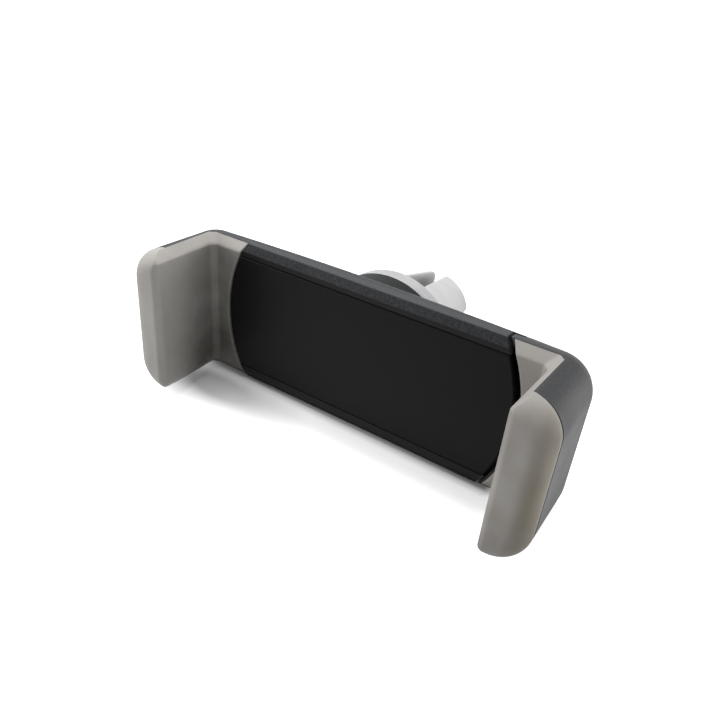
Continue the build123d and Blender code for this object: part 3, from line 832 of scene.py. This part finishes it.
def matt_white_floor():
    """Matt white board with a painted glow, seen only directly, that makes it plain white. The glow fades out
    towards the holder, so the soft shadow under it shows, and is weaker still in the corner inside the left
    jaw as painted shadow. It isn't there seen from below, nor when the housing has turned on its clip and the
    floor no longer lies level."""
    material = bpy.data.materials.new("matt_white_floor")
    material.use_nodes = True
    tree = material.node_tree
    tree.nodes.clear()
    side = add_node(tree, "NewGeometry")
    paint = add_node(tree, "BsdfDiffuse", {"Color": linear("#c8c8c8")})
    place = add_node(tree, "TexCoord")
    # Distance from the strip of floor under the body, where the shadow is deepest: a box of
    # these half sizes, set off from the origin.
    shifted = add_node(tree, "Mapping", {
        "Vector": (place, "Object"), "Location": (0.0032, 0.0035, 0.0)})
    folded = add_node(tree, "VectorMath", {0: (shifted, 0)}, operation="ABSOLUTE")
    past = add_node(tree, "VectorMath", {
        0: (folded, 0), 1: (0.0268, 0.0072, 0.02)}, operation="SUBTRACT")
    outside = add_node(tree, "VectorMath", {0: (past, 0), 1: (0.0, 0.0, 0.0)}, operation="MAXIMUM")
    far = add_node(tree, "VectorMath", {0: (outside, 0)}, operation="LENGTH")
    # The floor's own light: none under the body, 0.42 beside it, 0.85 in the open, more far off.
    contact = ramp(tree, (far, "Value"), 0.0, 0.0017, high=0.42)
    beyond = ramp(tree, (far, "Value"), 0.0035, 0.008, high=0.43)
    open_floor = maths(tree, "ADD", (contact, 0), (beyond, 0))
    # Painted shadow: the glow is weaker still in the corner inside the left jaw, so the floor there is darker
    # still.
    nook = add_node(tree, "Mapping", {
        "Vector": (place, "Object"), "Location": (0.0108, 0.0217, 0.013), "Scale": (0.45, 1.4, 1.0)})
    reach = add_node(tree, "VectorMath", {0: (nook, 0)}, operation="LENGTH")
    clear_of_nook = ramp(tree, (reach, "Value"), 0.0028, 0.0086)
    near = maths(tree, "MULTIPLY", (open_floor, 0), (clear_of_nook, 0))
    wide = ramp(tree, (far, "Value"), 0.06, 0.2, high=0.3)
    bright = maths(tree, "ADD", (near, 0), (wide, 0))
    glow = add_node(tree, "Emission", {"Color": linear("#ffffff"), "Strength": (bright, 0)})
    paint_and_glow = add_node(tree, "AddShader", {0: (paint, 0), 1: (glow, 0)})
    face = add_node(tree, "MixShader", {0: (seen_directly(tree), 0), 1: (paint, 0), 2: (paint_and_glow, 0)})
    clear = add_node(tree, "BsdfTransparent")
    # 0.9 is the cosine of 26 degrees: a floor that is tilted more than that isn't there.
    facing = add_node(tree, "SeparateXYZ", {0: (side, "True Normal")})
    tilted = maths(tree, "LESS_THAN", (facing, "Z"), 0.9)
    gone = maths(tree, "MAXIMUM", (side, "Backfacing"), (tilted, 0))
    both = add_node(tree, "MixShader", {0: (gone, 0), 1: (face, 0), 2: (clear, 0)})
    add_node(tree, "OutputMaterial", {"Surface": (both, 0)})
    return material


def lay_floor(up):
    """A floor square to up, under the object's lowest point. It rides on the housing."""
    middle = up * lowest_along(up)
    along = Vector((1.0, 0.0, 0.0))
    away = up.cross(along).normalized()
    half = 1.5
    turns = ((-1, -1), (1, -1), (1, 1), (-1, 1))
    corners = [middle + along * half * x + away * half * y for x, y in turns]
    mesh = bpy.data.meshes.new("floor")
    mesh.from_pydata([tuple(c) for c in corners], [], [(0, 1, 2, 3)])
    if mesh.polygons[0].normal.dot(up) < 0:
        mesh.flip_normals()
    floor = bpy.data.objects.new("floor", mesh)
    bpy.context.scene.collection.objects.link(floor)
    mesh.materials.append(matt_white_floor())
    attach(floor, "housing")


def light_world(strength):
    """Even room light, and plain white behind the object."""
    world = bpy.data.worlds.new("White room")
    bpy.context.scene.world = world
    world.use_nodes = True
    tree = world.node_tree
    tree.nodes.clear()
    room = add_node(tree, "Background", {"Color": linear("#ffffff"), "Strength": strength})
    white = add_node(tree, "Background", {"Color": linear("#ffffff"), "Strength": 1.0})
    shown = add_node(tree, "MixShader", {0: (seen_directly(tree), 0), 1: (room, 0), 2: (white, 0)})
    add_node(tree, "OutputWorld", {"Surface": (shown, 0)})


def add_lamp(name, where, target, size, power):
    """A square soft lamp that faces the target."""
    lamp = bpy.data.lights.new(name, "AREA")
    lamp.shape = "SQUARE"
    lamp.size = size
    lamp.energy = power
    holder = bpy.data.objects.new(name, lamp)
    holder.location = where
    holder.rotation_euler = (target - where).to_track_quat("-Z", "Y").to_euler()
    bpy.context.scene.collection.objects.link(holder)


def add_camera():
    """The photograph's camera, from its place, its direction and its up. Its focal length is
    677.6 pixels in a frame of 720."""
    look = Vector((-0.43976, 0.73762, -0.51237)).normalized()
    right = look.cross(Vector((-0.34651, 0.38698, 0.85450))).normalized()
    up = right.cross(look)
    lens = bpy.data.cameras.new("Camera")
    lens.lens = 677.6 / 720 * 36
    lens.sensor_width = 36.0
    lens.clip_start = 0.005
    lens.clip_end = 20.0
    camera = bpy.data.objects.new("Camera", lens)
    turned = Matrix((right, up, -look)).transposed().to_4x4()
    turned.translation = Vector((0.04561, -0.08633, 0.05253))
    camera.matrix_world = turned
    bpy.context.scene.collection.objects.link(camera)
    bpy.context.scene.camera = camera


OPERATORS = (
    PHONEHOLDER_OT_shells, PHONEHOLDER_OT_plate, PHONEHOLDER_OT_clip_ring, PHONEHOLDER_OT_grip_pads,
    PHONEHOLDER_OT_finger_sleeves, PHONEHOLDER_OT_inner_parts, PHONEHOLDER_OT_stage,
)


class PHONEHOLDER_PT_sidebar(Panel):
    """Sizes, colours and steps of the phone holder"""
    bl_label = "Phone holder"
    bl_idname = "PHONEHOLDER_PT_sidebar"
    bl_space_type = "VIEW_3D"
    bl_region_type = "UI"
    bl_category = "Phone holder"

    def draw(self, context):
        for name, group in GROUPS.items():
            column = self.layout.box().column()
            for field in group.__annotations__:
                column.prop(getattr(context.scene, name), field)
        for operator in OPERATORS:
            self.layout.operator(operator.bl_idname)


CLASSES = (*GROUPS.values(), *OPERATORS, PHONEHOLDER_PT_sidebar)


def register():
    for item in CLASSES:
        bpy.utils.register_class(item)
    for name, group in GROUPS.items():
        setattr(bpy.types.Scene, name, PointerProperty(type=group))


def unregister():
    for name in GROUPS:
        delattr(bpy.types.Scene, name)
    for item in reversed(CLASSES):
        bpy.utils.unregister_class(item)


def main():
    register()
    bpy.ops.phone_holder.shells()
    bpy.ops.phone_holder.plate()
    bpy.ops.phone_holder.clip_ring()
    bpy.ops.phone_holder.grip_pads()
    bpy.ops.phone_holder.finger_sleeves()
    bpy.ops.phone_holder.inner_parts()
    bpy.ops.phone_holder.stage()


if __name__ == "__main__":
    main()
